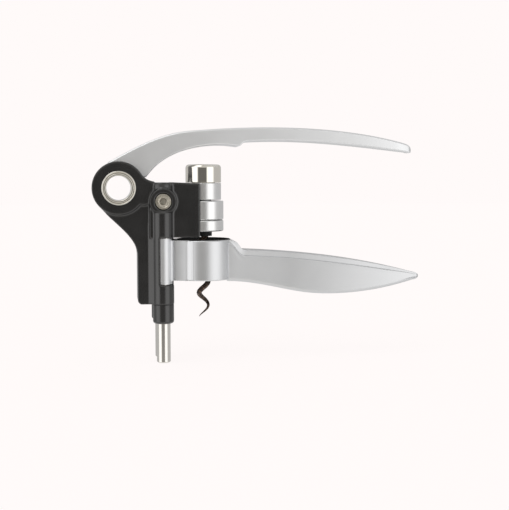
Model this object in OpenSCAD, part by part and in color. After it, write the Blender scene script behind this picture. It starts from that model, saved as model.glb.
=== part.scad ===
// Lever corkscrew: a black die-cast frame with two hinged neck jaws, and a carriage of two guide
// rods, a rack and a free-turning worm that a geared lever raises and lowers.
// The origin is on the bottle's axis, level with the lower edge of the jaws. The bottle stands
// below, +Z is up, the handles point to +X and the front is -Y.

/* [Layout] */
// Height of the lever's pivot above the jaws' lower edge
pivot_height = 54.9; // [50:0.1:66]
// Distance from the plane of the two guide rods to the lever's pivot
pivot_gap = 25.7; // [25:0.1:31]
// Distance from the jaws' outside to the plane of the guide rods
rod_room = 7.28; // [6.8:0.01:9]
// Distance from the middle plane to each guide rod
rod_half_gap = 9.5; // [9:0.1:11]

/* [Frame] */
// Radius of the ring round the pivot
ear_r = 15.7; // [15.2:0.1:18]
// Half the gap between the two ears
ear_half_gap = 8.6; // [8:0.1:9]
// Half the width over the ears and the flat cheeks
cheek_half_w = 12.5; // [12:0.1:14]
// Half the gap between the flat cheeks
cheek_half_gap = 9.5; // [9.5:0.1:10.2]
// Thickness of the recessed web below each ear
web_t = 1.8; // [1.4:0.1:3]
// How far the cheeks' straight edge reaches above the pivot
cheek_lift = 2.8; // [2.7:0.1:4]
// How much higher the cheeks' top is at its inner end
cheek_rise = 1.2; // [0:0.1:2]
// Space between the jaws and the cheeks above them
cheek_gap = 1.5; // [1:0.1:3]
// Distance from the bottle's axis to the cheeks' straight edge
cheek_reach = 3.2; // [2:0.1:5]
// How far the frame reaches below the jaws' lower edge
frame_drop = 14.1; // [11:0.1:20]
// Thickness of the frame's narrow outer wall
outer_wall_t = 1.8; // [1.4:0.1:2.1]
// Thickness of the guide tubes' wall
tube_wall = 2.3; // [2:0.1:3]
// How far above the pivot the guide tubes' top bevel starts
tube_lift = 1.3; // [0.5:0.1:2]

/* [Guide rods] */
// Radius of a guide rod
rod_r = 4.1; // [3.4:0.1:4.5]
// How far the rods reach below the jaws' lower edge
rod_drop = 49; // [48:0.5:60]
// Radius of the round pad that takes a guide screw
pad_r = 7.9; // [7:0.1:9]
// How far the guide screws lie below the pivot
guide_screw_dip = 7.9; // [7:0.1:9]
// Length of the collar below each guide tube
collar_l = 11.4; // [8:0.1:16]
// Radius of a guide screw's head
guide_head_r = 4.7; // [4:0.1:5.5]

/* [Gear and rack] */
// Module of the lever's teeth
gear_module = 1; // [0.85:0.05:1.2]
// Teeth on the lever's gear, were it a full circle
gear_teeth = 28; // [24:1:32]
// Half the width of the rack
rack_half_w = 5; // [3:0.1:6]
// Height of the rack's lower end
rack_bottom = 3; // [0:0.5:5]

/* [Pivot] */
// Radius of the open hole through the pivot sleeve
sleeve_hole_r = 7.3; // [6:0.1:7.5]
// Thickness of the pivot sleeve's wall
sleeve_wall = 1.2; // [1:0.1:1.5]
// Thickness of the wall of the pivot bushes
bush_wall = 0.9; // [0.7:0.1:1.2]
// How far the rolled flange stands out past the sleeve
flange_w = 1.6; // [1.5:0.1:3]
// Thickness of the sleeve's rolled flange
flange_t = 0.9; // [0.6:0.1:1.5]

/* [Lever] */
// Length of the lever from its pivot to its tip
lever_length = 180.1; // [150:0.5:220]
// Height of the lever's back above its pivot
lever_rise = 36; // [32:0.5:44]
// Thickness of the lever at the middle
lever_t = 7.7; // [6:0.1:10]
// Half the width of the lever's grip
lever_half_w = 10; // [8.5:0.1:12]
// Width of each gap beside the lever's hub, which a bush's flange fills
hub_side_gap = 1; // [0.8:0.1:1.2]

/* [Jaws and handles] */
// Radius of the bottle's neck that the closed pads grip
neck_r = 14.8; // [12.3:0.1:17.8]
// Thickness of the pads
pad_t = 1.4; // [1:0.1:1.6]
// Thickness of the jaws' metal round the pads
jaw_wall = 1.5; // [1.3:0.1:1.8]
// Height of the jaws
jaw_h = 23.9; // [20:0.1:24]
// Distance from the bottle's axis to the tip of the handles
handle_reach = 134.5; // [110:0.5:170]
// Height of the handles where they leave the jaws
handle_root_z = 17.9; // [15:0.1:19]
// Depth of the handles' belly below the jaws' lower edge
handle_belly = 10; // [6:0.1:14]
// Thickness of one handle at its root
handle_t = 9; // [6:0.1:9.5]
// Half the gap between the two closed handles
jaw_half_gap = 1; // [0.6:0.1:1.5]
// Wall of a jaw's hinge knuckle
knuckle_wall = 1.2; // [1:0.1:1.3]

/* [Worm] */
// Outer radius of the worm
worm_r = 4.4; // [4.4:0.05:4.9]
// Thickness of the worm's wire
wire_d = 3.2; // [2.4:0.1:3.2]
// Rise of the worm in one turn
worm_lead = 15; // [12:0.5:18]
// How far the worm's point reaches below the jaws' lower edge
worm_drop = 23; // [16:0.5:30]
// Radius of the worm's straight shank
shank_r = 3.2; // [3:0.1:3.6]

/* [Barrels] */
// Radius of the worm nut's housing
housing_r = 12.1; // [11.5:0.1:13]
// Space between the jaws and the nut's housing above them
housing_gap = 5.1; // [4:0.1:6]
// Height of the housing below the line where its sleeve starts
housing_h = 6.8; // [6:0.1:9]
// Radius of the carriage's top barrel
barrel_r = 10.7; // [9.8:0.05:11]
// Gap between the housing's sleeve and the top barrel
barrel_gap = 0.65; // [0.4:0.05:1.5]
// Height of the worm's cap
cap_h = 10.85; // [10:0.05:14]
// Wall of the worm nut's nose outside the worm
nut_nose_wall = 0.7; // [0.5:0.1:1.5]

/* [Clearances] */
// Radial clearance of a running fit
run_fit = 0.06; // [0.03:0.01:0.1]
// Radial clearance of a pressed fit
press_fit = 0.02; // [0.01:0.01:0.03]
// Gap between faces that slide past each other
slide_gap = 0.2; // [0.15:0.05:0.3]

/* [Hidden] */
$fn = 96;

over = 1; // overlap that carries a cut past a face
washer_t = 0.8;

// jaws, knuckles and guide tubes, from the bottle's axis outwards
jaw_in_r = neck_r + pad_t + press_fit;
jaw_r = jaw_in_r + jaw_wall;
lug_left = jaw_r + 1.18; // distance from the bottle's axis to a jaw's squared end
rod_reach = jaw_r + rod_room;
hinge_y = rod_half_gap;
rod_bore_r = rod_r + run_fit;
tube_r = rod_bore_r + tube_wall;
knuckle_r = rod_bore_r + knuckle_wall;
shell_r = knuckle_r + slide_gap;
knuckle_bottom = -1.9;
knuckle_top = jaw_h + cheek_gap - 0.2;
window_gap = 0.4; // space above and below a knuckle in its window

// pivot, gear and rack
pivot_reach = rod_reach + pivot_gap;
pivot = [-pivot_reach, pivot_height];
pitch_r = gear_module * gear_teeth / 2;
rack_pitch_x = -pivot_reach + pitch_r;
rack_back_x = rack_pitch_x + 4.5 * gear_module;
rack_tip_x = rack_pitch_x - gear_module + 0.05;
lever_turn = 190; // degrees from rest to fully raised
carriage_travel = pitch_r * lever_turn * PI / 180;
sleeve_r = sleeve_hole_r + sleeve_wall;
flange_r = sleeve_r + flange_w;
bush_r = sleeve_r + run_fit + bush_wall;
hub_bore_r = bush_r + press_fit;
hub_half_w = ear_half_gap - hub_side_gap;
tip_x = -pivot_reach + lever_length;
back_z = pivot_height + lever_rise;

// frame
cheek_left = rod_reach + 8; // distance from the bottle's axis to the cheeks' inner end
cheek_bottom = jaw_h + cheek_gap;
cheek_top = pivot_height + cheek_lift;
tube_top = pivot_height + tube_lift;
guide_screw_z = pivot_height - guide_screw_dip;
rack_room = 0.6; // space between the rack's teeth and the outer wall
outer_x = -rack_tip_x + rack_room + outer_wall_t;
spine_face = -rod_reach + tube_r;
pad_out = cheek_half_w + 4.3; // half width over the guide screws' pads
pad_flat = 6; // distance from a guide screw to its pad's flat lower side
guide_floor = pad_out - 1.5; // depth of the pocket for a guide screw's head
guide_shank_r = 2.5;
dog_reach = 1.1; // how far a guide screw's dog reaches into its rod
collar_spigot_r = rod_bore_r + 1.1;

// crosshead, rods and barrels, which stand level with the pivot
crosshead_top = pivot_height + 2.6;
crosshead_bottom = crosshead_top - 7.5;
crosshead_half_w = 7.6;
lug_r = rod_r + 1.1;
lug_top = crosshead_top - 3.7;
rod_top = crosshead_top - 5.5;
barrel_bottom = crosshead_bottom - 2.1;
barrel_flat = cheek_half_gap - slide_gap;
cap_bottom = crosshead_top + 0.65;
cap_top = cap_bottom + cap_h;
boss_r = 7; // radius of the crosshead's bearing boss
bearing_r = shank_r + run_fit;
bearing_top = crosshead_top + 6.5;
hub_top = barrel_bottom;
hub_bottom = hub_top - 2;

// nut and its housing, between the jaws and the top barrel
housing_bottom = jaw_h + housing_gap;
housing_split = housing_bottom + housing_h;
housing_top = barrel_bottom - barrel_gap;
helix_r = worm_r - wire_d / 2;
nut_nose_r = worm_r + nut_nose_wall;
nut_r = nut_nose_r + 1.4;
nut_seat = 1.6; // thickness of the housing's floor under the nut
nut_h = housing_top - housing_bottom - nut_seat - 3.05;
core_r = nut_r + 2; // radius of the housing's inner wall under its sleeve
tongue_half_w = 6.5; // half width of the housing's tongue to the spine

// screws
small_screw_r = 1.75;
small_socket_r = 1.45;
rack_screw_r = 1.5;
screw_seat = 6; // depth from the spine to the seat of a housing screw's head
housing_screw_z = [housing_bottom + 4.3, housing_top - 5.75];

function polar(r, a) = [r * cos(a), r * sin(a)];
function arc(c, r, a0, a1, n) = [for (i = [0:n]) c + polar(r, a0 + (a1 - a0) * i / n)];
function bezier(a, b, c, d, n) = [for (i = [0:n]) let (t = i / n, u = 1 - t)
    u * u * u * a + 3 * u * u * t * b + 3 * u * t * t * c + t * t * t * d];
function tail(list) = [for (i = [1:len(list) - 1]) list[i]];

// Extrudes a side outline, drawn in X and Z, from y = -near to y = -far.
module side(near, far) {
    translate([0, -near, 0]) rotate([90, 0, 0]) linear_extrude(far - near) children();
}

module block(x0, x1, y0, y1, z0, z1) {
    translate([x0, y0, z0]) cube([x1 - x0, y1 - y0, z1 - z0]);
}

// A disc or ring on the pivot's axis, from y = near to y = far.
module on_pivot(r, near, far) {
    translate([pivot.x, far, pivot.y]) rotate([90, 0, 0]) cylinder(r = r, h = far - near);
}

module at_rods() {
    for (s = [-1, 1]) translate([-rod_reach, s * rod_half_gap, 0]) children();
}

// Repeats a front piece at the back.
module both_sides() {
    children();
    mirror([0, 1, 0]) children();
}

// Full-height barrel with a rounded top and bottom edge.
module barrel(r, z0, z1, edge) {
    rotate_extrude() polygon(concat([[0, z0]], arc([r - edge, z0 + edge], edge, -90, 0, 4),
        arc([r - edge, z1 - edge], edge, 0, 90, 4), [[0, z1]]));
}

// The flats that let a barrel stand between the cheeks.
module cheek_flats(z0, z1) {
    for (s = [-1, 1]) {
        block(-20, -cheek_reach + slide_gap, s * (barrel_flat + 5) - 5, s * (barrel_flat + 5) + 5,
            z0 - over, z1 + over);
    }
}

// ---- Frame -------------------------------------------------------------------------------

// Outline of the raised plane: the ring round the pivot, the arm and the flat cheek.
module arm_outline() {
    fillet_r = 9;
    fillet_z = cheek_top + cheek_rise + fillet_r;
    fillet_x = pivot.x + sqrt(pow(ear_r + fillet_r, 2) - pow(fillet_z - pivot.y, 2));
    start = atan2(fillet_z - pivot.y, fillet_x - pivot.x);
    translate(pivot) circle(ear_r);
    polygon(concat([pivot], arc([fillet_x, fillet_z], fillet_r, 180 + start, 270, 8),
        [[-cheek_left, cheek_top + cheek_rise], [-cheek_left, pivot.y - 9.5]],
        arc([-cheek_left - 6, pivot.y - 14.5], 5, 60, 120, 6)));
}

module cheek_outline() {
    polygon([[-cheek_left, cheek_bottom], [-cheek_reach, cheek_bottom], [-cheek_reach, cheek_top],
        [-cheek_left + 10, cheek_top + cheek_rise * 0.66], [-cheek_left, cheek_top + cheek_rise]]);
}

// Outline of the recessed web from the ring down to the frame's foot.
module web_outline() {
    start = pivot + polar(ear_r, 217);
    foot = -frame_drop;
    polygon(concat([pivot], [start],
        tail(bezier([-pivot_reach - 10.5, pivot.y - 11.5], [-pivot_reach - 4.2, pivot.y - 20.4],
            [-outer_x - 0.25, 26.7], [-outer_x, 15.1], 14)),
        [[-outer_x, foot + 1.5], [-outer_x + 1.5, foot], [-rod_reach, foot], [-rod_reach, cheek_top - 3]]));
}

module frame() {
    wall_top = 22;
    spine_half_w = rod_half_gap;
    clear_top = pivot_height + 35;
    clear_from = guide_screw_z - 1;
    color([0.16, 0.155, 0.155]) difference() {
        union() {
            both_sides() {
                side(ear_half_gap, cheek_half_w) arm_outline();
                side(cheek_half_gap, cheek_half_w) cheek_outline();
                side(ear_half_gap, ear_half_gap + web_t) web_outline();
            }
            at_rods() {
                translate([0, 0, -frame_drop]) cylinder(r = tube_r, h = tube_top + frame_drop);
                translate([0, 0, tube_top])
                    cylinder(r1 = tube_r, r2 = lug_r + slide_gap + 0.4, h = cheek_top + 0.7 - tube_top);
            }
            // pads for the guide screws
            both_sides() translate([-rod_reach, -cheek_half_gap, guide_screw_z]) rotate([90, 0, 0])
                intersection() {
                    cylinder(r = pad_r, h = pad_out - cheek_half_gap);
                    translate([-pad_r, -pad_flat, 0]) cube([2 * pad_r, pad_flat + pad_r, pad_out]);
                }
            // narrow outer wall, foot and spine, which join the two sides
            block(-outer_x, -outer_x + outer_wall_t, -ear_half_gap - over, ear_half_gap + over,
                -frame_drop + 1.5, wall_top);
            block(-outer_x + 1.5, -rod_reach, -ear_half_gap - over, ear_half_gap + over,
                -frame_drop, -frame_drop + 2.5);
            block(rack_back_x + 0.5, -rod_reach + tube_r, -spine_half_w, spine_half_w,
                -frame_drop, clear_from);
        }
        // clear space inside for the hub, the rack and the crosshead
        block(-pivot_reach - 30, rack_back_x + 0.5, -ear_half_gap, ear_half_gap, wall_top, clear_top);
        block(-outer_x + outer_wall_t, rack_back_x + 0.5, -ear_half_gap, ear_half_gap,
            -frame_drop + 2.5, clear_top);
        block(-outer_x - over, -cheek_reach + over, -ear_half_gap, ear_half_gap, clear_from, clear_top);
        block(-cheek_left, -cheek_reach + over, -cheek_half_gap, cheek_half_gap, clear_from, clear_top);
        on_pivot(sleeve_r + press_fit, -30, 30);
        at_rods() {
            translate([0, 0, -60]) cylinder(r = rod_bore_r, h = 140);
            translate([0, 0, crosshead_bottom - 0.4]) cylinder(r = lug_r + slide_gap, h = 20);
            translate([0, 0, -frame_drop - over]) cylinder(r = collar_spigot_r + press_fit, h = 5 + over);
            // window for the jaws' knuckles
            translate([0, 0, knuckle_bottom - window_gap])
                cylinder(r = shell_r, h = knuckle_top - knuckle_bottom + 2 * window_gap);
        }
        for (s = [-1, 1]) {
            window_y = s * (rod_half_gap + 6.8);
            block(-rod_reach - 2.1, 0, window_y - 10, window_y + 10,
                knuckle_bottom - window_gap, knuckle_top + window_gap);
        }
        // guide screws' heads and threads
        for (s = [0, 180]) translate([-rod_reach, 0, guide_screw_z]) rotate([90, 0, s]) {
            translate([0, 0, guide_floor]) cylinder(r = guide_head_r + 0.3, h = 10);
            cylinder(r = guide_shank_r + press_fit, h = 20);
        }
        // threads of the housing screws
        housing_screw_places() cylinder(r = small_screw_r + press_fit, h = 11);
    }
}

module guide_collars() {
    color([0.17, 0.165, 0.165]) at_rods() difference() {
        union() {
            translate([0, 0, -frame_drop - collar_l]) rotate_extrude()
                polygon(concat([[0, 0]], arc([tube_r - 1.8, 1.6], 1.6, -90, 0, 5),
                    [[tube_r - 0.2, collar_l], [0, collar_l]]));
            translate([0, 0, -frame_drop - over]) cylinder(r = collar_spigot_r, h = 4 + over);
        }
        translate([0, 0, -60]) cylinder(r = rod_bore_r, h = 80);
    }
}

module guide_screws() {
    head_h = 1.7;
    dog_r = 1.5;
    hex_r = 1.8;
    tip = rod_half_gap + rod_r + run_fit;
    color([0.58, 0.55, 0.49]) for (s = [0, 180])
        translate([-rod_reach, 0, guide_screw_z]) rotate([90, 0, s]) difference() {
            union() {
                translate([0, 0, guide_floor]) rotate_extrude()
                    polygon(concat([[0, 0], [guide_head_r, 0]],
                        arc([guide_head_r - 0.9, head_h - 0.9], 0.9, 0, 90, 4), [[0, head_h]]));
                translate([0, 0, tip]) cylinder(r = guide_shank_r, h = guide_floor - tip + 0.1);
                translate([0, 0, tip - dog_reach]) cylinder(r = dog_r, h = dog_reach + 0.1);
            }
            translate([0, 0, guide_floor - 0.6]) cylinder(r = hex_r, h = 10, $fn = 6);
        }
}

// ---- Pivot -------------------------------------------------------------------------------

module pivot_sleeve() {
    color([0.8, 0.79, 0.77]) difference() {
        union() {
            on_pivot(sleeve_r, -cheek_half_w - flange_t, cheek_half_w + flange_t - 0.05);
            on_pivot(flange_r, -cheek_half_w - flange_t, -cheek_half_w);
        }
        on_pivot(sleeve_hole_r, -30, 30);
        // groove in the rolled flange
        difference() {
            on_pivot(flange_r - 0.8, -20, -cheek_half_w - flange_t + 0.35);
            on_pivot(flange_r - 1.5, -20, -cheek_half_w);
        }
    }
}

module pivot_ring() {
    color([0.8, 0.79, 0.77]) difference() {
        on_pivot(flange_r, cheek_half_w, cheek_half_w + flange_t);
        on_pivot(sleeve_r + press_fit, -30, 30);
        difference() {
            on_pivot(flange_r - 0.8, cheek_half_w + flange_t - 0.35, 20);
            on_pivot(flange_r - 1.5, cheek_half_w, 20);
        }
    }
}

// Flanged bush between one ear and the hub.
module pivot_bush() {
    flange_gap = 0.05;
    length = 6;
    difference() {
        union() {
            on_pivot(bush_r, -ear_half_gap + flange_gap, -ear_half_gap + length);
            on_pivot(bush_r + 2, -ear_half_gap + flange_gap, -hub_half_w - flange_gap);
        }
        on_pivot(sleeve_r + run_fit, -30, 30);
    }
}

module pivot_bush_front() {
    color([0.9, 0.89, 0.85]) pivot_bush();
}

module pivot_bush_back() {
    color([0.9, 0.89, 0.85]) mirror([0, 1, 0]) pivot_bush();
}

// ---- Nut housing on the frame ------------------------------------------------------------

// Places of the housing screws, with +Z of each turned to point at the spine.
module housing_screw_places() {
    for (z = housing_screw_z) translate([spine_face, 0, z]) rotate([0, -90, 0]) children();
}

module nut_housing() {
    color([0.78, 0.78, 0.79]) difference() {
        union() {
            difference() {
                barrel(housing_r, housing_bottom, housing_split - 0.1, 0.8);
                cheek_flats(housing_bottom, housing_split);
            }
            translate([0, 0, housing_bottom + 1])
                cylinder(r = core_r, h = housing_top - housing_bottom - 1.4);
            block(spine_face, -core_r + 2, -tongue_half_w, tongue_half_w, housing_bottom + 0.6,
                housing_top - 2.3);
        }
        translate([0, 0, housing_bottom + nut_seat])
            cylinder(r = nut_r + press_fit, h = housing_top - housing_bottom);
        translate([0, 0, housing_bottom - over]) cylinder(r = nut_nose_r + press_fit, h = 10);
        translate([spine_face, 0, 0]) housing_screw_clearance();
    }
}

// Clearance holes and head pockets through the housing's tongue.
module housing_screw_clearance() {
    for (z = housing_screw_z) translate([0, 0, z]) rotate([0, 90, 0]) {
        translate([0, 0, -over]) cylinder(r = small_screw_r + 0.1, h = 20);
        translate([0, 0, screw_seat]) cylinder(r = 3.3, h = 20);
    }
}

module housing_screws() {
    color([0.55, 0.55, 0.56]) for (z = housing_screw_z) translate([spine_face, 0, z]) difference() {
        rotate([0, 90, 0]) union() {
            translate([0, 0, -9]) cylinder(r = small_screw_r, h = 9.1 + screw_seat);
            translate([0, 0, screw_seat]) cylinder(r = 3, h = 2.6);
        }
        translate([screw_seat + 1.2, 0, 0]) rotate([0, 90, 0]) cylinder(r = small_socket_r, h = 5, $fn = 6);
    }
}

module housing_sleeve() {
    color([0.83, 0.83, 0.84]) difference() {
        barrel(housing_r, housing_split + 0.1, housing_top, 0.7);
        translate([0, 0, housing_split - over])
            cylinder(r = core_r + press_fit, h = housing_top - housing_split + 2 * over);
        cheek_flats(housing_split, housing_top);
        block(-20, 0, -tongue_half_w - press_fit, tongue_half_w + press_fit, housing_split - over,
            housing_top + over);
    }
}

// The worm's wire, swept along its helix from z0 to z1, tapered to a point below taper_z.
module helical_wire(radius, z0, z1, taper_z) {
    sides = 10;
    rings = ceil((z1 - z0) / worm_lead * 20);
    slope = atan(worm_lead / (2 * PI * helix_r));
    function wire_r(z) = z > taper_z ? radius : radius * (0.12 + 0.88 * (z - z0) / (taper_z - z0));
    function turn(z) = 180 + 360 * (z + 8.5) / worm_lead;
    function ring(z) = [for (k = [0:sides - 1]) let (a = 360 * k / sides, r = wire_r(z),
        out = r * cos(a), up = r * sin(a), t = turn(z), along = -up * sin(slope))
        [(helix_r + out) * cos(t) - along * sin(t), (helix_r + out) * sin(t) + along * cos(t),
            z + up * cos(slope)]];
    points = [for (i = [0:rings]) each ring(z0 + (z1 - z0) * i / rings)];
    faces = concat([[for (k = [sides - 1:-1:0]) k]],
        [for (i = [0:rings - 1], k = [0:sides - 1]) let (n = (k + 1) % sides, a = i * sides, b = a + sides)
            each [[a + k, a + n, b + k], [b + k, a + n, b + n]]],
        [[for (k = [0:sides - 1]) rings * sides + k]]);
    polyhedron(points, faces, convexity = 10);
}

module worm_nut() {
    color([0.1, 0.1, 0.1]) difference() {
        union() {
            translate([0, 0, housing_bottom - 3]) cylinder(r = nut_nose_r, h = 8);
            translate([0, 0, housing_bottom + nut_seat]) cylinder(r = nut_r, h = nut_h);
        }
        helical_wire(wire_d / 2 + slide_gap, housing_bottom - 12, housing_top + 6, -99);
    }
}

module nut_ring() {
    color([0.5, 0.5, 0.51]) translate([0, 0, housing_bottom + nut_seat + nut_h + 0.1]) difference() {
        cylinder(r = nut_r, h = 1);
        translate([0, 0, -over]) cylinder(r = worm_r + 0.6, h = 4);
    }
}

// ---- Carriage ----------------------------------------------------------------------------

module crosshead() {
    color([0.5, 0.5, 0.51]) difference() {
        union() {
            block(rack_back_x, 0, -crosshead_half_w, crosshead_half_w, crosshead_bottom, crosshead_top);
            at_rods() translate([0, 0, crosshead_bottom])
                cylinder(r = lug_r, h = lug_top - crosshead_bottom);
            translate([0, 0, barrel_bottom + 0.2])
                cylinder(r = boss_r, h = bearing_top - barrel_bottom - 0.2);
        }
        at_rods() {
            translate([0, 0, lug_top]) cylinder(r = lug_r, h = 20);
            translate([0, 0, crosshead_bottom - over])
                cylinder(r = rod_r + press_fit, h = rod_top - crosshead_bottom + over);
            cylinder(r = small_screw_r + 0.1, h = lug_top + over);
        }
        translate([0, 0, barrel_bottom]) cylinder(r = bearing_r, h = 40);
        // pockets for the rack screws
        rack_screw_places() {
            cylinder(r = 1.6, h = 20);
            translate([0, 0, 4]) cylinder(r = 3.1, h = 6);
        }
    }
}

module rod_screws() {
    color([0.55, 0.55, 0.56]) at_rods() difference() {
        union() {
            translate([0, 0, lug_top - 9]) cylinder(r = small_screw_r, h = 9.1);
            translate([0, 0, lug_top]) cylinder(r = 3.2, h = 1.9);
        }
        translate([0, 0, lug_top + 0.6]) cylinder(r = small_socket_r, h = 5, $fn = 6);
    }
}

// A guide rod with the keyway that its guide screw's dog runs in.
module guide_rod() {
    chamfer = 0.6;
    key_depth = dog_reach + 0.2;
    key_half_w = 1.6;
    translate([-rod_reach, -rod_half_gap, 0]) difference() {
        translate([0, 0, -rod_drop]) rotate_extrude()
            polygon([[0, 0], [rod_r - chamfer, 0], [rod_r, chamfer],
                [rod_r, rod_drop + rod_top - chamfer], [rod_r - chamfer, rod_drop + rod_top],
                [0, rod_drop + rod_top]]);
        block(-key_half_w, key_half_w, -rod_r - over, -rod_r + key_depth,
            guide_screw_z - carriage_travel - key_half_w - 0.5, guide_screw_z + key_half_w);
        translate([0, 0, lug_top - 10]) cylinder(r = small_screw_r + 0.02, h = 20);
    }
}

module guide_rod_front() {
    color([0.78, 0.77, 0.74]) guide_rod();
}

module guide_rod_back() {
    color([0.78, 0.77, 0.74]) mirror([0, 1, 0]) guide_rod();
}

module rack() {
    backlash = 0.06;
    half = PI * gear_module / 4 - backlash;
    lean = gear_module * tan(20);
    pitch = PI * gear_module;
    thread_l = 4;
    root = rack_pitch_x + 1.25 * gear_module;
    // a gap of the rack stands level with the pivot, so the teeth lie half a pitch away
    last = floor((pivot_height - rack_bottom) / pitch - 1);
    teeth = [for (i = [0:last]) let (z = pivot_height - (i + 0.5) * pitch)
        each [[root, z + half + 1.25 * lean], [rack_tip_x, z + half - 0.95 * lean],
            [rack_tip_x, z - half + 0.95 * lean], [root, z - half - 1.25 * lean]]];
    color([0.62, 0.62, 0.63]) difference() {
        side(-rack_half_w, rack_half_w) polygon(concat([[root, rack_bottom], [rack_back_x, rack_bottom],
            [rack_back_x, crosshead_top], [root, crosshead_top]], teeth));
        rack_screw_places() translate([0, 0, -thread_l])
            cylinder(r = rack_screw_r + press_fit, h = thread_l + 0.01);
    }
}

// Places of the rack screws, with +Z of each turned away from the rack.
module rack_screw_places() {
    for (s = [-1, 1]) translate([rack_back_x, s * 3.4, (crosshead_bottom + crosshead_top) / 2])
        rotate([0, 90, 0]) children();
}

module rack_screws() {
    color([0.55, 0.55, 0.56]) rack_screw_places() difference() {
        union() {
            translate([0, 0, -2.8]) cylinder(r = rack_screw_r, h = 6.9);
            translate([0, 0, 4]) cylinder(r = 2.8, h = 1.8);
        }
        translate([0, 0, 4.6]) cylinder(r = 1.25, h = 4, $fn = 6);
    }
}

module top_barrel() {
    color([0.8, 0.8, 0.81]) difference() {
        barrel(barrel_r, barrel_bottom, cap_bottom - 0.25, 0.4);
        translate([0, 0, barrel_bottom - over]) cylinder(r = boss_r + press_fit, h = 40);
        cheek_flats(barrel_bottom, cap_bottom);
        block(-20, 0, -crosshead_half_w - press_fit, crosshead_half_w + press_fit,
            crosshead_bottom - press_fit, crosshead_top + press_fit);
    }
}

module worm_cap() {
    cap_wall = 1.4;
    cap_edge = 1.6;
    color([0.86, 0.85, 0.83]) difference() {
        rotate_extrude() polygon(concat([[0, cap_bottom], [barrel_r, cap_bottom]],
            arc([barrel_r - cap_edge, cap_top - cap_edge], cap_edge, 0, 90, 8), [[0, cap_top]]));
        translate([0, 0, cap_bottom - over])
            cylinder(r = boss_r + press_fit, h = bearing_top - cap_bottom + over);
        translate([0, 0, bearing_top - 0.1])
            cylinder(r = boss_r - 0.6, h = cap_top - cap_wall - bearing_top + 0.1);
        cheek_flats(cap_bottom - 2, crosshead_top);
    }
}

module worm() {
    color([0.2, 0.13, 0.1]) helical_wire(wire_d / 2, -worm_drop, hub_bottom, -worm_drop + 14);
}

// The worm's spindle: a hub that holds the end of the wire, and a shank that turns in the crosshead.
module worm_spindle() {
    groove_z = bearing_top + washer_t + 0.15;
    color([0.5, 0.5, 0.51]) difference() {
        union() {
            translate([0, 0, hub_bottom - 0.5]) cylinder(r = worm_r + 0.3, h = hub_top - hub_bottom + 0.5);
            translate([0, 0, hub_top - 0.1]) cylinder(r = shank_r, h = cap_top - 1.9 - hub_top + 0.1);
        }
        difference() {
            translate([0, 0, groove_z]) cylinder(r = shank_r + over, h = 0.9);
            translate([0, 0, groove_z - over]) cylinder(r = shank_r - 0.7, h = 4);
        }
    }
}

module thrust_washer() {
    color([0.75, 0.62, 0.35]) translate([0, 0, bearing_top + 0.05]) difference() {
        cylinder(r = boss_r - 1.2, h = washer_t);
        translate([0, 0, -over]) cylinder(r = bearing_r, h = 4);
    }
}

module worm_clip() {
    color([0.35, 0.35, 0.36]) translate([0, 0, bearing_top + washer_t + 0.25]) difference() {
        cylinder(r = shank_r + 1.6, h = 0.7);
        translate([0, 0, -over]) cylinder(r = shank_r - 0.6, h = 4);
        translate([0, -1.2, -over]) cube([8, 2.4, 4]);
    }
}

// ---- Lever -------------------------------------------------------------------------------

// One tooth flank as points from root to tip, at angle a0 from the tooth's middle.
function involute(base, r) = let (k = acos(min(1, base / r))) tan(k) * 180 / PI - k;

// Outline of the toothed part of the hub, which runs clockwise from +X.
module gear_outline() {
    base = pitch_r * cos(20);
    root_r = pitch_r - 1.25 * gear_module;
    tip_r = pitch_r + gear_module - 0.05;
    half = 360 / gear_teeth / 4 - 0.25;
    at_pitch = involute(base, pitch_r);
    radii = [base + 0.05, (base + pitch_r) / 2, pitch_r, (pitch_r + tip_r) / 2, tip_r];
    step = 360 / gear_teeth;
    circle(root_r);
    for (i = [-ceil(lever_turn / step) - 2:0]) rotate(i * step) polygon(concat(
        [polar(root_r - 0.3, -half - at_pitch)],
        [for (r = radii) polar(r, -half - at_pitch + involute(base, r))],
        [for (k = [4:-1:0]) polar(radii[k], half + at_pitch - involute(base, radii[k]))],
        [polar(root_r - 0.3, half + at_pitch)]));
}

// Side outline of the lever from the hub's crown to the tip.
module lever_outline() {
    crown = pivot + polar(pitch_r, 116);
    knee = [pivot.x + 42.1, back_z - 2.2];
    grip = [pivot.x + 65.9, back_z - 0.3];
    top = concat(bezier(crown, pivot + [6.6, 24.4], [knee.x - 17, knee.y - 1.8], knee, 10),
        tail(bezier(knee, knee + [8, 0.9], grip - [12, 0.3], grip, 6)),
        tail(bezier(grip, grip + [37, 0.6], [tip_x - 39.4, back_z + 1.3], [tip_x - 3.6, back_z - 8.7], 14)));
    under = back_z - lever_t;
    heel = [pivot.x + 71, under - 3.4];
    step = [pivot.x + 75.5, under - 0.7];
    throat = pivot + polar(pitch_r - 1, 24);
    bottom = concat(bezier([tip_x - 4.1, back_z - 13.1], [tip_x - 37.5, under - 1.5],
        [step.x + 34, under + 1.9], step, 12),
        bezier(heel, [heel.x - 18, heel.y + 3.1], pivot + [28, 23.5], pivot + [16.5, 6.6], 12));
    polygon(concat([pivot], [throat - [3, 0]], [crown], tail(top),
        arc([tip_x - 2.4, back_z - 10.9], 2.4, 60, -100, 6), tail(bottom), [throat]));
}

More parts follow.
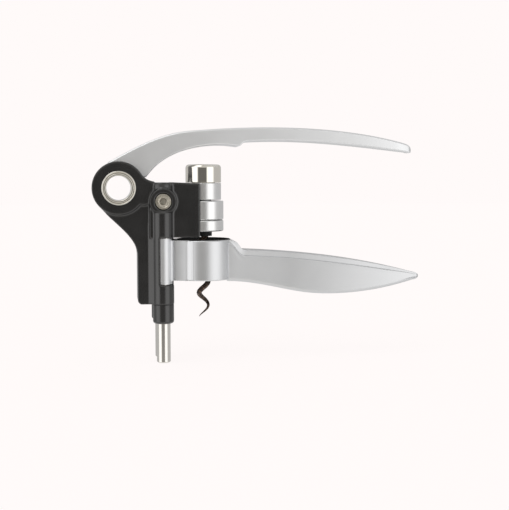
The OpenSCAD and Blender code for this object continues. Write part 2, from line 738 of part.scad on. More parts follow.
// Plan outline: narrow between the ears, wide at the grip, rounded at the tip.
module lever_plan() {
    w = lever_half_w;
    shoulder = pivot.x + 15;
    edge = concat([[pivot.x - 20, hub_half_w], [shoulder, hub_half_w]],
        tail(bezier([shoulder, hub_half_w], [shoulder + 15, hub_half_w], [shoulder + 20, w],
            [shoulder + 45, w], 8)),
        tail(bezier([shoulder + 45, w], [shoulder + 95, w], [tip_x - 30, w - 1], [tip_x - 7, 6], 10)),
        tail(bezier([tip_x - 7, 6], [tip_x - 2.5, 4.6], [tip_x, 3], [tip_x, 0], 6)));
    polygon(concat(edge, [for (i = [len(edge) - 1:-1:0]) [edge[i].x, -edge[i].y]]));
}

module lever() {
    color([0.74, 0.75, 0.77]) difference() {
        union() {
            side(-hub_half_w, hub_half_w) translate(pivot) gear_outline();
            intersection() {
                side(-20, 20) lever_outline();
                translate([0, 0, 20]) linear_extrude(120) lever_plan();
            }
        }
        on_pivot(hub_bore_r, -30, 30);
    }
}

// ---- Jaws --------------------------------------------------------------------------------

// Side outline of one handle, with the curve that falls from the jaw's rim to its top edge.
module handle_outline() {
    root_x = 21.8;
    rim = [14.6, jaw_h];
    end = handle_reach - 3.4;
    root = [root_x, handle_root_z - 0.2];
    top = concat(bezier(rim, rim + [4.6, -0.2], root + [-3.6, 1], root, 8),
        tail(bezier(root, [59.3, 16.1], [96, 12], [end, 2.4], 14)));
    low = -handle_belly;
    belly = [end - 52.4, low];
    bottom = concat(bezier([end, -2.4], [end - 16.7, low + 1.9], belly + [17.4, 0.1], belly, 10),
        tail(bezier(belly, [56.7, low - 0.4], [36.1, -1.4], [14.2, -1], 10)));
    polygon(concat([[8, 0], [8, jaw_h]], top, arc([end + 1, 0], 2.4, 72, -72, 6), bottom, [[12, 0]]));
}

// Plan outline of the front handle: its outer face runs from the jaw to the tip.
module handle_plan() {
    y = -jaw_half_gap;
    out = y - handle_t;
    tip = handle_reach;
    polygon(concat([[8, y]], [[8, -jaw_r]], [[13.4, out - 0.9]],
        tail(bezier([13.4, out - 0.9], [17, out - 0.2], [26, out + 0.4], [50, out + 0.3], 8)),
        tail(bezier([50, out + 0.3], [90, out + 0.4], [tip - 16, out + 3.5], [tip - 2.5, out + 6], 8)),
        [[tip, out + 7], [tip, y]]));
}

// The front jaw. Its knuckle turns on the front guide rod.
module jaw() {
    difference() {
        union() {
            difference() {
                union() {
                    rotate_extrude() polygon(concat([[0, 0]], arc([jaw_r - 0.8, 0.8], 0.8, -90, 0, 3),
                        arc([jaw_r - 0.8, jaw_h - 0.8], 0.8, 0, 90, 3), [[0, jaw_h]]));
                    block(-lug_left, -4, -13.6, -7.2, 0, jaw_h);
                }
                block(-40, 40, -jaw_half_gap, 40, -over, jaw_h + over);
                block(14.1, 40, -40, 40, -over, jaw_h + over);
            }
            intersection() {
                side(jaw_half_gap, 20) handle_outline();
                translate([0, 0, -30]) linear_extrude(80) handle_plan();
            }
            translate([-rod_reach, -hinge_y, knuckle_bottom])
                cylinder(r = knuckle_r, h = knuckle_top - knuckle_bottom);
            block(-rod_reach, -lug_left + over, -12, -7.2, knuckle_bottom + 1.9, jaw_h);
        }
        translate([0, 0, -20]) cylinder(r = jaw_in_r, h = 60);
        translate([-rod_reach, -hinge_y, -20]) cylinder(r = rod_bore_r, h = 60);
    }
}

module jaw_front() {
    color([0.8, 0.81, 0.82]) jaw();
}

module jaw_back() {
    color([0.8, 0.81, 0.82]) mirror([0, 1, 0]) jaw();
}

// Black lining of the front jaw, a half shell that follows the bottle's neck.
module jaw_pad() {
    end_gap = 1.2;
    lip = 0.4;
    difference() {
        cylinder(r = neck_r + pad_t, h = jaw_h + lip);
        translate([0, 0, -over]) cylinder(r = neck_r, h = 60);
        block(-40, 40, -jaw_half_gap - end_gap, 40, -over, 60);
    }
}

module jaw_pad_front() {
    color([0.08, 0.08, 0.08]) jaw_pad();
}

module jaw_pad_back() {
    color([0.08, 0.08, 0.08]) mirror([0, 1, 0]) jaw_pad();
}

frame();
guide_collars();
guide_screws();
pivot_sleeve();
pivot_ring();
pivot_bush_front();
pivot_bush_back();
nut_housing();
housing_sleeve();
housing_screws();
worm_nut();
nut_ring();
crosshead();
top_barrel();
worm_cap();
guide_rod_front();
guide_rod_back();
rod_screws();
rack();
rack_screws();
worm();
worm_spindle();
thrust_washer();
worm_clip();
lever();
jaw_front();
jaw_back();
jaw_pad_front();
jaw_pad_back();
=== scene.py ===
import math

import bpy
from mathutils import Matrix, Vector


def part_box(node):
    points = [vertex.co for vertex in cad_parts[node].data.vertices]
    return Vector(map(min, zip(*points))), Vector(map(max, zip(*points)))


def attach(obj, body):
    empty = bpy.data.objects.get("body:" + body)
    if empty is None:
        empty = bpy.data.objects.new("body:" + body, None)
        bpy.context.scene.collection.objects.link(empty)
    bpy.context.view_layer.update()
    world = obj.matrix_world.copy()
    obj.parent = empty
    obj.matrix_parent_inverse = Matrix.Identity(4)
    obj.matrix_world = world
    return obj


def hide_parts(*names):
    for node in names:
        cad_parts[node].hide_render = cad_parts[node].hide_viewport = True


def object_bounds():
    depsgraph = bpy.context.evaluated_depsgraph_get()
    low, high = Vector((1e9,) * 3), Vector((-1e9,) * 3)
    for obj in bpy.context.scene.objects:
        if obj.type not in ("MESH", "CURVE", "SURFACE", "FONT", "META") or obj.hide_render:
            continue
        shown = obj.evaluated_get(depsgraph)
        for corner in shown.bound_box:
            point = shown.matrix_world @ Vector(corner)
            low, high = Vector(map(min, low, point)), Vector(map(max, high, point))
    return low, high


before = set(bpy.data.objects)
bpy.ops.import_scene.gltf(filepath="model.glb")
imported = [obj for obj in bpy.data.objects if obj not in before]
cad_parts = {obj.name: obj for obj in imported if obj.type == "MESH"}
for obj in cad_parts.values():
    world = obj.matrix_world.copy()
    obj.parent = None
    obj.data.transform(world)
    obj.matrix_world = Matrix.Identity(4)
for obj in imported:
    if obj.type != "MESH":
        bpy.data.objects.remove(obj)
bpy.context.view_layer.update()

MM = 0.001


# ---- Frame casting ------------------------------------------------------------------------------
# One zinc die casting, coated matt black: the ring round the lever's pivot, the arm, the flat
# cheeks, the recessed web and the two guide tubes. The mould leaves all its edges softly rounded.

class Value:
    """A shader socket that adds up like a number."""

    def __init__(self, tree, socket):
        self.tree = tree
        self.socket = socket

    def math(self, operation, *inputs):
        return self.tree.node("Math", {"operation": operation}, dict(enumerate(inputs)))

    def __add__(self, other):
        return self.math("ADD", self, other)

    def __sub__(self, other):
        return self.math("SUBTRACT", self, other)

    def __rsub__(self, other):
        return self.math("SUBTRACT", other, self)

    def __mul__(self, other):
        return self.math("MULTIPLY", self, other)

    __radd__ = __add__
    __rmul__ = __mul__

    def rises(self, low, high):
        """0 below low, 1 above high, and smooth between them."""
        return self.tree.node("MapRange", {"interpolation_type": "SMOOTHSTEP"},
                              {"Value": self, "From Min": low, "From Max": high})


class Nodes:
    """A node tree that is written as expressions."""

    def __init__(self, owner):
        owner.use_nodes = True
        self.tree = owner.node_tree
        self.place = self.node("TexCoord", {}, {}, "Object")

    def feed(self, node, inputs):
        for name, value in inputs.items():
            socket = node.inputs[name]
            if isinstance(value, Value):
                self.tree.links.new(value.socket, socket)
            elif socket.type == "RGBA" and len(value) == 3:
                socket.default_value = (*value, 1)
            else:
                socket.default_value = value

    def node(self, kind, settings, inputs, output=0):
        made = self.tree.nodes.new("ShaderNode" + kind)
        for name, value in settings.items():
            setattr(made, name, value)
        self.feed(made, inputs)
        return Value(self, made.outputs[output])

    def blend(self, share, first, second):
        return self.node("Mix", {"data_type": "RGBA"}, {0: share, 6: first, 7: second}, 2)

    def noise(self, size, detail=3, stretch=(1, 1, 1)):
        """Noise with features about size metres across, drawn out by stretch."""
        scaled = self.node("Mapping", {}, {"Vector": self.place, "Scale": [1 / s for s in stretch]})
        return self.node("TexNoise", {}, {"Vector": scaled, "Scale": 1 / size, "Detail": detail})


class Finish(Nodes):
    """A surface finish on a Principled shader."""

    def __init__(self, name, **fixed):
        self.material = bpy.data.materials.new(name)
        super().__init__(self.material)
        self.shader = self.tree.nodes["Principled BSDF"]
        self.varies(**fixed)

    def varies(self, **inputs):
        self.feed(self.shader, {key.replace("_", " ").title().replace("Ior", "IOR"): value
                                for key, value in inputs.items()})

    def bump(self, height, depth):
        """Raises the surface by height times depth metres."""
        self.varies(normal=self.node("Bump", {}, {"Height": height, "Distance": depth,
                                                  "Strength": 1.0}, "Normal"))

    def cover(self, *pieces):
        for piece in pieces:
            piece.data.materials.clear()
            piece.data.materials.append(self.material)


def pick(piece):
    """Makes one piece the only selected and the active one."""
    bpy.ops.object.select_all(action="DESELECT")
    piece.select_set(True)
    bpy.context.view_layer.objects.active = piece


def edit(piece, *steps):
    """Runs mesh operators, each a name with its settings, on the whole of a piece's mesh."""
    pick(piece)
    bpy.ops.object.mode_set(mode="EDIT")
    bpy.ops.mesh.select_all(action="SELECT")
    for operator, settings in steps:
        getattr(bpy.ops.mesh, operator)(**settings)
    bpy.ops.object.mode_set(mode="OBJECT")


OUTWARD = ("normals_make_consistent", {"inside": False})


def apply_modifier(piece, kind, **settings):
    pick(piece)
    modifier = piece.modifiers.new(kind.title(), kind)
    for name, value in settings.items():
        setattr(modifier, name, value)
    bpy.ops.object.modifier_apply(modifier=modifier.name)


def copy_of(name, node):
    """A merged copy of a design node, with its flat faces whole again."""
    piece = bpy.data.objects.new(name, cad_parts[node].data.copy())
    bpy.context.scene.collection.objects.link(piece)
    edit(piece, ("remove_doubles", {"threshold": 1e-6}),
         ("dissolve_limited", {"angle_limit": math.radians(0.5)}))
    return piece


def belongs(piece, body, slot, *nodes):
    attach(piece, body)
    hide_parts(*nodes)


def shade(piece, angle=31):
    """Shades the mesh smooth up to an angle, and leaves its large faces flat."""
    pick(piece)
    bpy.ops.object.shade_smooth_by_angle(angle=math.radians(angle))
    apply_modifier(piece, "WEIGHTED_NORMAL", keep_sharp=True, weight=90)


def round_edges(piece, radius, segments=2, angle=25):
    """Rounds every edge sharper than angle."""
    apply_modifier(piece, "BEVEL", width=radius, segments=segments, limit_method="ANGLE",
                   angle_limit=math.radians(angle), use_clamp_overlap=True)
    shade(piece)


def loft(name, rings):
    """A closed body through rings of points: its first ring, drawn out to each next one."""
    bpy.ops.object.select_all(action="DESELECT")
    bpy.ops.mesh.primitive_circle_add(vertices=len(rings[0]), fill_type="NGON")
    piece = bpy.context.object
    piece.name = name
    for vertex, point in zip(piece.data.vertices, rings[0]):
        vertex.co = point
    for ring in rings[1:]:
        bpy.ops.object.mode_set(mode="EDIT")
        bpy.ops.mesh.extrude_region_move()
        bpy.ops.object.mode_set(mode="OBJECT")
        drawn = [vertex for vertex in piece.data.vertices if vertex.select]
        for vertex, point in zip(drawn, ring):
            vertex.co = point
    edit(piece, OUTWARD)
    return piece


def slab(low, high):
    """A plain block between two corners, in millimetres."""
    bpy.ops.object.select_all(action="DESELECT")
    bpy.ops.mesh.primitive_cube_add(size=1)
    piece = bpy.context.object
    for vertex in piece.data.vertices:
        vertex.co = Vector(high[i] if vertex.co[i] > 0 else low[i] for i in range(3)) * MM
    return piece


def join(piece, *others):
    """Takes other pieces' shells into one piece."""
    pick(piece)
    for other in others:
        other.select_set(True)
    bpy.ops.object.join()


# A raised rib runs down each side, left of the guide tube. The rib, the tube and the web are one
# skin, so the mesh is wrapped anew and its edges are worn to about a millimetre's radius.
casting = copy_of("frame_casting", "frame")
rib_plan = [(-34.3, 9), (-34.3, 10.2), (-31.4, 12.2), (-30.7, 12.2), (-30.0, 11.4), (-30.0, 9)]
rib_foot, rib_head = -13.9, 34
join(casting, *(loft("rib", [[Vector((x, side * y, z)) * MM for x, y in rib_plan]
                             for z in (rib_foot, rib_head)]) for side in (-1, 1)))
apply_modifier(casting, "REMESH", mode="VOXEL", voxel_size=0.4 * MM, use_smooth_shade=True)
apply_modifier(casting, "SMOOTH", factor=0.5, iterations=14)
apply_modifier(casting, "DECIMATE", ratio=0.35)
belongs(casting, "frame", "frame_black", "frame")

black_coat = Finish("black_coat", specular_ior_level=1.0)
grain = black_coat.noise(0.35 * MM, 2)
cloud = black_coat.noise(9 * MM, 3)
black_coat.varies(base_color=black_coat.blend(cloud.rises(0.3, 0.7), (0.007, 0.0067, 0.0067),
                                              (0.010, 0.0097, 0.0097)),
                  roughness=cloud * 0.06 + grain * 0.04 + 0.17)
black_coat.bump(grain, 0.004 * MM)
black_coat.cover(casting)


# ---- Guide collars ------------------------------------------------------------------------------
# Two moulded black sleeves pushed into the feet of the guide tubes. Each has a soft rounded lower
# lip and a fine line where it meets the tube.

collars = copy_of("guide_collars_moulded", "guide_collars")
round_edges(collars, 0.25 * MM)
belongs(collars, "frame", "collar_black", "guide_collars")

collar_plastic = Finish("collar_plastic", base_color=(0.009, 0.0087, 0.0087),
                        specular_ior_level=1.0)
mould_grain = collar_plastic.noise(0.5 * MM, 2)
collar_plastic.varies(roughness=mould_grain * 0.1 + 0.18)
collar_plastic.bump(mould_grain, 0.004 * MM)
collar_plastic.cover(collars)


# ---- Pivot sleeve and ring ----------------------------------------------------------------------
# The hollow pin that the lever turns on, turned from brass and chrome plated. Its front flange is
# rolled over the casting's ring, and a pressed ring holds it at the back.

def turn_body(name, profile, centre, axis, steps=96):
    """A body turned round an axis from a closed outline of (radius, height) in millimetres."""
    bpy.ops.object.select_all(action="DESELECT")
    bpy.ops.mesh.primitive_circle_add(vertices=len(profile), fill_type="NOTHING")
    piece = bpy.context.object
    piece.name = name
    outward = Vector((axis[1] + axis[2], 0, 0))
    for vertex, (radius, height) in zip(piece.data.vertices, profile):
        vertex.co = (Vector(centre) + outward * radius + Vector(axis) * height) * MM
    edit(piece, ("spin", {"steps": steps, "angle": 2 * math.pi,
                          "center": Vector(centre) * MM, "axis": axis}))
    edit(piece, ("remove_doubles", {"threshold": 2e-6}), ("delete_loose", {}), OUTWARD)
    shade(piece, 34)
    return piece


def bend(centre, radius, start, end, steps):
    """Points of an arc in the plane of an outline."""
    return [(centre[0] + radius * math.cos(math.radians(start + (end - start) * i / steps)),
             centre[1] + radius * math.sin(math.radians(start + (end - start) * i / steps)))
            for i in range(steps + 1)]


pivot = (-50.7, 0, 54.9)
lip = 13.38
sleeve_outline = bend((7.7, lip - 0.4), 0.4, 180, 90, 4) + bend((8.3, lip - 0.3), 0.3, 90, 0, 3)
sleeve_outline += [(8.6, lip - 0.8), (9.05, lip - 0.8)] + bend((9.55, lip - 0.55), 0.5, 180, 0, 10)
sleeve_outline += [(10.05, 12.55), (8.49, 12.5), (8.49, -13.3), (7.3, -13.3)]
sleeve = turn_body("pivot_sleeve_rolled", sleeve_outline, pivot, (0, -1, 0))
belongs(sleeve, "frame", "bright_chrome", "pivot_sleeve")
ring_outline = bend((9.45, lip - 0.65), 0.62, 0, 150, 8)
ring_outline += [(8.55, lip - 0.35), (8.55, 12.53), (10.07, 12.53)]
back_ring = turn_body("pivot_ring_pressed", ring_outline, pivot, (0, 1, 0))
belongs(back_ring, "frame", "bright_chrome", "pivot_ring")

chrome = Finish("chrome", metallic=1.0)
haze = chrome.noise(3 * MM, 4)
chrome.varies(base_color=chrome.blend(haze, (0.88, 0.85, 0.78), (0.92, 0.89, 0.82)),
              roughness=haze * 0.04 + 0.04)
chrome.cover(sleeve, back_ring)

nylon = Finish("white_nylon")
nylon.varies(base_color=nylon.blend(nylon.noise(2 * MM), (0.74, 0.72, 0.66), (0.82, 0.8, 0.75)),
             roughness=nylon.noise(0.4 * MM) * 0.2 + 0.4)
nylon.cover(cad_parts["pivot_bush_front"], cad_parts["pivot_bush_back"])


# ---- Nut housing and its sleeve -----------------------------------------------------------------
# Two turned aluminium barrels on the frame, one above the other with a fine groove between them,
# satin finished round their axis. Two screws hold them to the frame's spine.

barrels = []
for name in ("nut_housing", "housing_sleeve"):
    barrel = copy_of(name + "_turned", name)
    round_edges(barrel, 0.06 * MM)
    belongs(barrel, "frame", "satin_barrel", name)
    barrels.append(barrel)

turned = Finish("turned_satin", metallic=1.0)
lathe = turned.noise(0.2 * MM, 2, stretch=(50, 50, 1))
turned.varies(base_color=turned.blend(lathe, (0.86, 0.865, 0.87), (0.93, 0.93, 0.93)),
              roughness=lathe * 0.08 + 0.27)
turned.bump(lathe, 0.0012 * MM)
turned.cover(*barrels)


# ---- Guide rods ---------------------------------------------------------------------------------
# Two ground steel rods, nickel plated, with a chamfered lower end and a keyway on the outside.

rods = []
for side in ("front", "back"):
    rod = copy_of(f"guide_rod_{side}_ground", f"guide_rod_{side}")
    round_edges(rod, 0.12 * MM)
    belongs(rod, "carriage", "rod_steel", f"guide_rod_{side}")
    rods.append(rod)

ground = Finish("ground_nickel", metallic=1.0)
grinding = ground.noise(0.25 * MM, 2, stretch=(60, 60, 1))
ground.varies(base_color=ground.blend(grinding, (0.8, 0.77, 0.73), (0.88, 0.86, 0.82)),
              roughness=grinding * 0.08 + 0.1)
ground.bump(grinding, 0.0008 * MM)
ground.cover(*rods)


# ---- Top barrel and cap -------------------------------------------------------------------------
# The carriage's top barrel has the same satin finish as the housing below it. The cap over the
# worm's bearing is spun from brass and polished bright, with a softly rounded upper edge.

top_barrel = copy_of("top_barrel_turned", "top_barrel")
round_edges(top_barrel, 0.12 * MM)
belongs(top_barrel, "carriage", "satin_barrel", "top_barrel")
turned.cover(top_barrel)

cap_low, cap_high = (corner[2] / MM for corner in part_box("worm_cap"))
cap_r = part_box("worm_cap")[1][0] / MM
inner_r, inner_high = 6.9, cap_low + 8
cap_outline = [(0, inner_high), (inner_r, inner_high), (inner_r, cap_low)]
cap_outline += bend((cap_r - 0.25, cap_low + 0.25), 0.25, -90, 0, 3)
cap_outline += bend((cap_r - 2.1, cap_high - 2.1), 2.1, 0, 90, 14) + [(0, cap_high)]
cap = turn_body("worm_cap_spun", cap_outline, (0, 0, 0), (0, 0, 1))
belongs(cap, "carriage", "bright_chrome", "worm_cap")
chrome.cover(cap)


# ---- Guide screws -------------------------------------------------------------------------------
# Hex socket screws of nickel plated steel in the pockets of the two pads. Their ends run in the
# keyways of the rods.

def combine(piece, operation, tool):
    apply_modifier(piece, "BOOLEAN", operation=operation, object=tool, solver="EXACT")
    bpy.data.objects.remove(tool)


screw_x, screw_z = -25, 47
hex_r, hex_floor = 1.8, 15.6
hex_turns = [math.radians(60 * i + 8) for i in range(6)]
head_outline = [(0, 15.4), (4.6, 15.4)] + bend((4.15, 16.4), 0.45, 0, 90, 5)
head_outline += [(3.55, 16.85), (3.1, 16.5), (0, 16.5)]
heads = []
for side in (-1, 1):
    head = turn_body("guide_screw_head", head_outline, (screw_x, 0, screw_z), (0, side, 0), 64)
    combine(head, "DIFFERENCE", loft("hex_tool", [
        [Vector((screw_x + hex_r * math.cos(turn), side * depth,
                 screw_z + hex_r * math.sin(turn))) * MM for turn in hex_turns]
        for depth in (18, hex_floor)]))
    heads.append(head)
guide_screws = heads[0]
join(guide_screws, heads[1])
guide_screws.name = "guide_screws_hex"
shade(guide_screws, 34)
belongs(guide_screws, "frame", "nickel", "guide_screws")

nickel = Finish("warm_nickel", metallic=1.0)
tarnish = nickel.noise(0.8 * MM, 4)
nickel.varies(base_color=nickel.blend(tarnish.rises(0.35, 0.7), (0.4, 0.37, 0.3),
                                      (0.66, 0.62, 0.54)),
              roughness=tarnish * 0.2 + 0.2)
nickel.cover(guide_screws)


# ---- Lever --------------------------------------------------------------------------------------
# A die casting with a fine blasted surface: a toothed hub between the ears, and an arched arm that
# widens to the grip. Under the grip it has a small heel where the fingers stop.

def bezier(a, b, c, d, t):
    u = 1 - t
    return a * u ** 3 + 3 * b * u * u * t + 3 * c * u * t * t + d * t ** 3


def at(curves, x):
    """Height of a chain of curves at x, which each runs through from left to right."""
    for a, b, c, d in curves:
        if x <= d[0]:
            low, high = 0.0, 1.0
            for _ in range(40):
                t = (low + high) / 2
                low, high = (t, high) if bezier(a[0], b[0], c[0], d[0], t) < x else (low, t)
            return bezier(a[1], b[1], c[1], d[1], low)
    return curves[-1][3][1]


def rounded_end(ring, middle, reach, degrees, least=0.0):
    """Rings that close a loft: each a smaller copy of its last ring, moved on by part of reach."""
    return [[middle + (point - middle) * max(least, math.cos(turn)) + reach * math.sin(turn)
             for point in ring] for turn in map(math.radians, degrees)]


lever_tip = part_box("lever")[1][0] / MM
nose = 3.6
lever_end = lever_tip - nose
end_top, end_low = 81.8, 76.9
lever_back = [((-58.6, 69.0), (-42.9, 77.6), (-26.9, 87.3), (-8.6, 88.7)),
              ((-8.6, 88.7), (35, 92.6), (83.5, 92.7), (lever_end, end_top))]
lever_belly = [((-58.6, 60), (-50, 60), (-40, 60), (-34.2, 61.5)),
               ((-34.2, 61.5), (-24, 77.8), (2.3, 82.9), (20.3, 79.8)),
               ((20.3, 79.8), (22, 79.6), (22.6, 82.3), (24.7, 82.5)),
               ((24.7, 82.5), (58.2, 84.8), (92, 81), (lever_end, end_low))]
lever_plan = [((-60, 7.5), (-56, 7.5), (-52, 7.5), (-47, 7.5)),
              ((-47, 7.5), (-30, 7.5), (-18, 9.95), (9.3, 9.95)),
              ((9.3, 9.95), (59.3, 9.95), (99.4, 9), (122.4, 6)),
              ((122.4, 6), (126.9, 4.6), (129.3, 3), (lever_tip, 0.6))]


def lever_ring(x):
    top = at(lever_back, x)
    bottom = at(lever_belly, x)
    half_w = at(lever_plan, x)
    middle = (top + bottom) / 2
    half_h = (top - bottom) / 2
    points = []
    for quarter in range(4):
        side = 1 if quarter in (0, 3) else -1
        up = 1 if quarter in (0, 1) else -1
        corner = min(1.2 if up > 0 else 1.0, half_h * 0.6)
        for step in range(6):
            turn = math.radians(90 * quarter + 90 * step / 5)
            points.append((side * (half_w - corner) + corner * math.cos(turn),
                           up * (half_h - corner) + corner * math.sin(turn)))
    return [Vector((x, y, middle + z)) * MM for y, z in points]


# Rings stand closer together at the heel, where the belly turns sharply.
lever_rows = [-57 + 2.5 * i for i in range(30)]
lever_rows += [18.8, 19.8, 20.6, 21.4, 22.2, 23, 23.8, 24.7, 27] + [30 + 4 * i for i in range(24)]
lever_rings = [lever_ring(x) for x in lever_rows if x < lever_end] + [lever_ring(lever_end)]
nose_middle = Vector((lever_end, 0, (end_top + end_low) / 2)) * MM
lever_rings += rounded_end(lever_rings[-1], nose_middle, Vector((nose, 0, -1.6)) * MM,
                           range(15, 91, 15), least=0.12)
arm = loft("lever_cast", lever_rings)


def pin(radius, sides):
    """A plain cylinder along the pivot's axis, as a tool for cutting."""
    bpy.ops.object.select_all(action="DESELECT")
    bpy.ops.mesh.primitive_cylinder_add(vertices=sides, radius=radius, depth=40 * MM,
                                        location=Vector(pivot) * MM,
                                        rotation=(math.radians(90), 0, 0))
    return bpy.context.object


hub_r, hub_bore_r = 15.2, 9.5
hub = copy_of("lever_hub", "lever")
combine(hub, "INTERSECT", pin(hub_r * MM, 64))
combine(arm, "UNION", hub)
combine(arm, "DIFFERENCE", pin(hub_bore_r * MM, 96))
shade(arm, 35)
belongs(arm, "lever", "lever_satin", "lever")

blasted = Finish("blasted_satin", metallic=1.0)
blast = blasted.noise(0.18 * MM, 2)
drift = blasted.noise(14 * MM, 2)
blasted.varies(base_color=blasted.blend(drift, (0.86, 0.87, 0.885), (0.92, 0.93, 0.945)),
               roughness=blast * 0.08 + drift * 0.06 + 0.36)
blasted.bump(blast, 0.002 * MM)
blasted.cover(arm)


# ---- Jaws and handles ---------------------------------------------------------------------------
# Two die castings that clasp the bottle's neck. Each is a half ring with a hinge knuckle on its
# guide rod, and a long handle whose upper edge is chamfered, under the same satin finish.

handle_end = 131.1
clasp_high = 23.9
handle_top = [((5, clasp_high), (8, clasp_high), (12, clasp_high), (14.6, clasp_high)),
              ((14.6, clasp_high), (21.6, 23.7), (20.0, 18.5), (24.0, 17.6)),
              ((24.0, 17.6), (59.3, 16.1), (96, 12), (handle_end, 2.4))]
handle_ledge = [((5, 23.2), (8, 23.2), (12, 23.2), (14.6, 22.6)),
                ((14.6, 22.6), (18.6, 21.5), (19.2, 15.2), (24.2, 14.5)),
                ((24.2, 14.5), (58.8, 13.4), (94.2, 7.9), (handle_end, 1.7))]
handle_belly = [((5, 0), (8, 0), (11, -0.6), (14.2, -1)),
                ((14.2, -1), (29.9, -1.2), (44.9, -6.1), (60.3, -8.5)),
                ((60.3, -8.5), (75, -10.8), (102, -10.6), (handle_end, -2.4))]
handle_out = [((5, 10.9), (8, 10.9), (11, 10.9), (13.4, 10.9)),
              ((13.4, 10.9), (19, 10.75), (32, 9.9), (50, 9.7)),
              ((50, 9.7), (90, 9.6), (118.5, 6.5), (132, 4))]


def handle_ring(x):
    """The handle's outline across x: flat inside, and stepped down to a ledge along its top."""
    top, ledge, low, out = (at(curves, x)
                            for curves in (handle_top, handle_ledge, handle_belly, handle_out))
    ledge = min(ledge, top - 1)
    size = min(1.0, (top - low) / 14)
    inset = 1.3 * size
    round_low = min(2.4, (top - low) * 0.4)
    points = [(1.0, top), (out - inset - 0.4 * size, top), (out - inset, top - 0.4 * size),
              (out - inset, ledge + 0.02), (out - 0.9 * size, ledge)]
    points += [(out - 0.9 * size + 0.9 * size * math.sin(math.radians(a)),
                ledge - 0.9 * size + 0.9 * size * math.cos(math.radians(a)))
               for a in (30, 50, 68, 80)]
    points += [(out - 0.1 * size, ledge - 1.6 * size), (out - 0.04 * size, ledge - 3 * size),
               (out, ledge - 5 * size), (out, (ledge - 4 * size + low) / 2)]
    points += [(out - round_low + round_low * math.cos(math.radians(a)),
                low + round_low - round_low * math.sin(math.radians(a)))
               for a in range(0, 91, 15)]
    points += [(1.0, low)]
    return [Vector((x, -y, z)) * MM for y, z in points]


handle_rows = [9, 11, 12.5, 13.4, 14.2, 14.8, 15.4, 16, 16.6, 17.2, 17.8, 18.4, 19, 19.6, 20.2]
handle_rows += [21, 22, 23.5] + [25 + 3 * i for i in range(36)]
handle_rings = [handle_ring(x) for x in handle_rows if x < handle_end] + [handle_ring(handle_end)]
handle_rings += rounded_end(handle_rings[-1], Vector((handle_end, -2.6, 0)) * MM,
                            Vector((3.4, 0, 0)) * MM, (20, 40, 60, 75, 86))
handle = loft("handle", handle_rings)

# The clasp is turned as a whole ring, of which the front part is kept. It runs straight on to the
# squared end by the knuckle.
bore_r = 16.22
clasp_outline = [(bore_r, 0.4), (16.6, 0)] + bend((16.92, 0.8), 0.8, -90, 0, 5)
clasp_outline += bend((16.92, clasp_high - 0.8), 0.8, 0, 90, 5) + [(bore_r, clasp_high)]
clasp = turn_body("clasp", clasp_outline, (0, 0, 0), (0, 0, 1), 160)
combine(clasp, "INTERSECT", slab((-7.6, -30, -5), (14.1, -1, 30)))
bpy.ops.object.select_all(action="DESELECT")
bpy.ops.mesh.primitive_cylinder_add(vertices=160, radius=bore_r * MM, depth=80 * MM)
combine(handle, "DIFFERENCE", bpy.context.object)
jaw = copy_of("jaw_front_cast", "jaw_front")
combine(jaw, "DIFFERENCE", slab((-7.7, -30, -30), (150, 30, 60)))
flare = [(-7.5, -16.06), (-18.96, -10.47), (-18.96, -20), (-7.5, -20)]
combine(jaw, "DIFFERENCE", loft("flare_tool", [[Vector((x, y, z)) * MM for x, y in flare]
                                               for z in (-5, 30)]))
combine(jaw, "UNION", clasp)
combine(jaw, "UNION", handle)
back_jaw = bpy.data.objects.new("jaw_back_cast", jaw.data.copy())
bpy.context.scene.collection.objects.link(back_jaw)
for vertex in back_jaw.data.vertices:
    vertex.co.y *= -1
edit(back_jaw, OUTWARD)
for side, piece in (("front", jaw), ("back", back_jaw)):
    shade(piece, 32)
    belongs(piece, f"jaw_{side}", "jaw_satin", f"jaw_{side}")

jaw_finish = Finish("jaw_satin_finish", metallic=1.0)
fine = jaw_finish.noise(0.16 * MM, 2)
shift = jaw_finish.noise(14 * MM, 2)
jaw_finish.varies(base_color=jaw_finish.blend(shift, (0.73, 0.74, 0.755), (0.79, 0.8, 0.815)),
                  roughness=fine * 0.06 + shift * 0.04 + 0.35)
jaw_finish.bump(fine, 0.0015 * MM)
jaw_finish.cover(jaw, back_jaw)

rubber = Finish("pad_rubber", base_color=(0.012, 0.012, 0.012))
rubber.varies(roughness=rubber.noise(0.6 * MM) * 0.2 + 0.55)
rubber.bump(rubber.noise(0.4 * MM, 2), 0.01 * MM)
rubber.cover(*(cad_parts[name] for name in ("jaw_pad_front", "jaw_pad_back", "worm_nut")))


# ---- Worm and inner works -----------------------------------------------------------------------
# The worm is drawn wire with a dark slippery coat that wears brown. The crosshead, rack, screws
# and spindle are machined steel, and the spindle's head turns on a bronze washer.

plain = Finish("machined_steel", metallic=1.0)
cuts = plain.noise(0.3 * MM, 2, stretch=(12, 1, 1))
plain.varies(base_color=plain.blend(cuts, (0.42, 0.42, 0.42), (0.56, 0.56, 0.56)),
             roughness=cuts * 0.2 + 0.25)
plain.cover(*(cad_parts[name]
              for name in ("crosshead", "rack", "rack_screws", "rod_screws",
                           "housing_screws", "nut_ring", "worm_spindle", "worm_clip")))

brown = Finish("worm_coat", metallic=0.35)
wear = brown.noise(1.2 * MM, 4)
brown.varies(base_color=brown.blend(wear.rises(0.45, 0.7), (0.03, 0.018, 0.013), (0.16, 0.1, 0.07)),
             roughness=wear * 0.2 + 0.2)
brown.cover(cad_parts["worm"])

bronze = Finish("bronze", metallic=1.0)
bronze.varies(base_color=bronze.blend(bronze.noise(1 * MM), (0.5, 0.33, 0.14), (0.66, 0.46, 0.22)),
              roughness=bronze.noise(0.4 * MM) * 0.2 + 0.25)
bronze.cover(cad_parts["thrust_washer"])


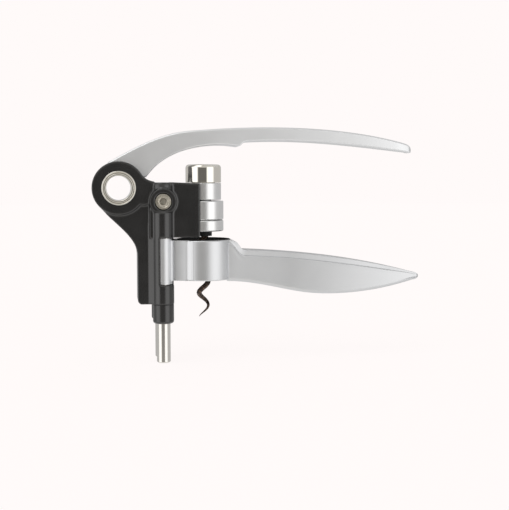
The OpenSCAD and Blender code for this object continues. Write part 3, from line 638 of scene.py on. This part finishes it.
# ---- Studio -------------------------------------------------------------------------------------
# A pale table and a pale room. Bright panels stand left and right of the camera, which leaves a
# dim band where it stands, as the barrels show. The camera is a little left of square.

azimuth = math.radians(-8.6)
elevation = math.radians(4.4)
white = (1.0, 0.956, 0.948)

bpy.ops.object.select_all(action="DESELECT")
bpy.ops.mesh.primitive_plane_add(size=8, location=(0, 0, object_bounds()[0][2] - 0.3 * MM))
floor = bpy.context.object
floor.name = "floor"
pale = Finish("pale_table", base_color=(0.1, 0.0955, 0.0945), roughness=1.0, specular_ior_level=0.0,
              emission_color=white, emission_strength=0.93)
pale.cover(floor)
floor.visible_glossy = False

world = bpy.data.worlds.new("studio")
bpy.context.scene.world = world
room = Nodes(world)
from_camera = room.node("VectorRotate", {"rotation_type": "Z_AXIS"},
                        {"Vector": room.place, "Angle": -azimuth})
split = room.node("SeparateXYZ", {}, {"Vector": from_camera}).socket.node
across, along, height = (Value(room, socket) for socket in split.outputs)
bearing = across.math("ARCTAN2", across, along * -1)
off = (bearing + 0.06).math("ABSOLUTE", bearing + 0.06)
below = height * -1
core = below.rises(0.03, 0.25) * 0.2 + 0.145
strips = off.rises(0.42, 0.62)
panels = 1.3 - off.rises(1.2, 1.45) * 0.78
level = core * (1 - strips) + strips * panels
sky = height.rises(0.04, 0.2) * (1 - strips) + height.rises(0.35, 0.6) * strips
level = level * (1 - sky) + sky * 0.6
table = below.rises(0.25, 0.6)
level = level * (1 - table) + table * 0.8
seen = room.node("LightPath", {}, {}, "Is Camera Ray")
background = room.tree.nodes["Background"]
tint = room.blend(off.rises(0.3, 0.6), (1.0, 0.97, 0.92), (1.0, 0.99, 0.98))
lit = room.node("VectorMath", {"operation": "SCALE"}, {"Vector": tint, "Scale": level})
room.feed(background, {"Color": room.blend(seen, lit, white), "Strength": 1.0})
bpy.context.scene.view_settings.view_transform = "Standard"

target = Vector((31.3, 0, 13.9)) * MM
distance = 578 * MM
back = Vector((math.sin(azimuth) * math.cos(elevation), -math.cos(azimuth) * math.cos(elevation),
               math.sin(elevation)))

key = bpy.data.lights.new("key", "SUN")
key.energy = 0.5
key.angle = math.radians(40)
lamp = bpy.data.objects.new("key", key)
bpy.context.scene.collection.objects.link(lamp)
lamp.rotation_euler = Vector((-0.5, -0.35, 0.9)).to_track_quat("Z", "Y").to_euler()

view = bpy.data.cameras.new("camera")
view.lens = 66.6
view.sensor_width = 36
view.clip_end = 20
camera = bpy.data.objects.new("camera", view)
bpy.context.scene.collection.objects.link(camera)
camera.location = target + back * distance
camera.rotation_euler = back.to_track_quat("Z", "Y").to_euler()
bpy.context.scene.camera = camera
